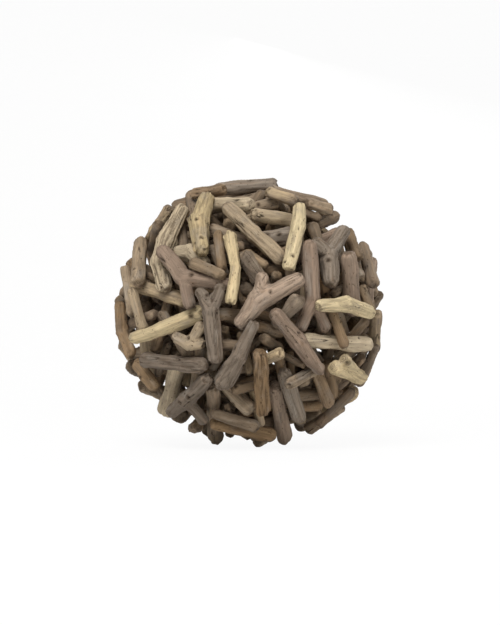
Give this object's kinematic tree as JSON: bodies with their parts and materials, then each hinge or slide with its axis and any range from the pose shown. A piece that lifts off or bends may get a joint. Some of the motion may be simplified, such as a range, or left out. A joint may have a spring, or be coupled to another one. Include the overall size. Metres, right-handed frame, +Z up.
{
  "type": "driftwood stick ball",
  "caption": "Hollow round ornament built from many short driftwood sticks and forks glued together where they touch, with ragged see-through gaps between them",
  "frame": {"origin": "centre of the ball", "axes": "+Z up as it stands, -Y out of the side that faces the viewer, +X to the viewer's right"},
  "size_m": [0.1968, 0.1971, 0.1955],
  "materials": {
    "straw_driftwood": "sun-bleached, bare of bark, matt",
    "pale_driftwood": "weathered and tumbled smooth, matt",
    "taupe_driftwood": "weathered, grey-brown, matt",
    "grey_driftwood": "silver-grey and checked, matt",
    "brown_driftwood": "yellow-brown, less weathered, matt",
    "mixed_driftwood": "sticks of all tones, matt",
    "shaded_driftwood": "duller sticks inside the ball, matt"
  },
  "bodies": {
    "root": {"front_sticks_upper_left": "mixed_driftwood", "front_sticks_upper_right": "mixed_driftwood", "front_sticks_lower_left": "mixed_driftwood", "front_sticks_lower_right": "mixed_driftwood", "deep_front_sticks_upper_left": "shaded_driftwood", "deep_front_sticks_upper_right": "shaded_driftwood", "deep_front_sticks_lower_left": "shaded_driftwood", "deep_front_sticks_lower_right": "shaded_driftwood", "inner_sticks_back_upper_left": "shaded_driftwood", "inner_sticks_back_upper_right": "shaded_driftwood", "inner_sticks_back_lower_left": "shaded_driftwood", "inner_sticks_back_lower_right": "shaded_driftwood", "inner_sticks_front_upper": "shaded_driftwood", "inner_sticks_front_lower": "shaded_driftwood", "lining_sticks_upper": "shaded_driftwood", "lining_sticks_lower": "shaded_driftwood", "outer_sticks_top": "mixed_driftwood", "outer_sticks_bottom": "mixed_driftwood", "outer_sticks_left": "mixed_driftwood", "outer_sticks_right": "mixed_driftwood", "outer_sticks_back": "mixed_driftwood", "middle_sticks_top": "mixed_driftwood", "middle_sticks_bottom": "mixed_driftwood", "middle_sticks_left": "mixed_driftwood", "middle_sticks_right": "mixed_driftwood", "middle_sticks_back": "mixed_driftwood", "peg_by_the_hole": "pale_driftwood", "fat_knotted_stick": "pale_driftwood", "olive_lean_to": "brown_driftwood", "long_left_upright": "pale_driftwood", "twin_ridge_stick": "pale_driftwood", "eye_stick": "straw_driftwood", "forked_stick_left": "taupe_driftwood", "grooved_upright": "brown_driftwood", "yellow_base_stick": "brown_driftwood", "base_right_upright": "taupe_driftwood", "low_right_upright": "grey_driftwood", "brown_lean_to": "taupe_driftwood", "right_limb_upright": "taupe_driftwood", "right_grey_fork": "grey_driftwood", "pink_stub": "taupe_driftwood", "two_legged_fork": "taupe_driftwood", "pale_bar_upper": "straw_driftwood", "pale_bar_lower": "pale_driftwood", "pale_broken_stick": "straw_driftwood", "low_left_upright": "pale_driftwood", "low_left_fork": "grey_driftwood", "burr_stick": "grey_driftwood", "upper_crosspiece": "pale_driftwood", "long_upper_diagonal": "pale_driftwood", "knotted_upper_stick": "pale_driftwood", "crown_stick": "grey_driftwood", "centre_fork": "taupe_driftwood", "bowed_pale_stick": "straw_driftwood", "long_right_diagonal": "taupe_driftwood", "grey_bar": "grey_driftwood", "dark_v_fork": "grey_driftwood", "flared_stick": "grey_driftwood", "big_crooked_stick": "straw_driftwood", "cut_straw_stick": "straw_driftwood"}
  },
  "joints": []
}
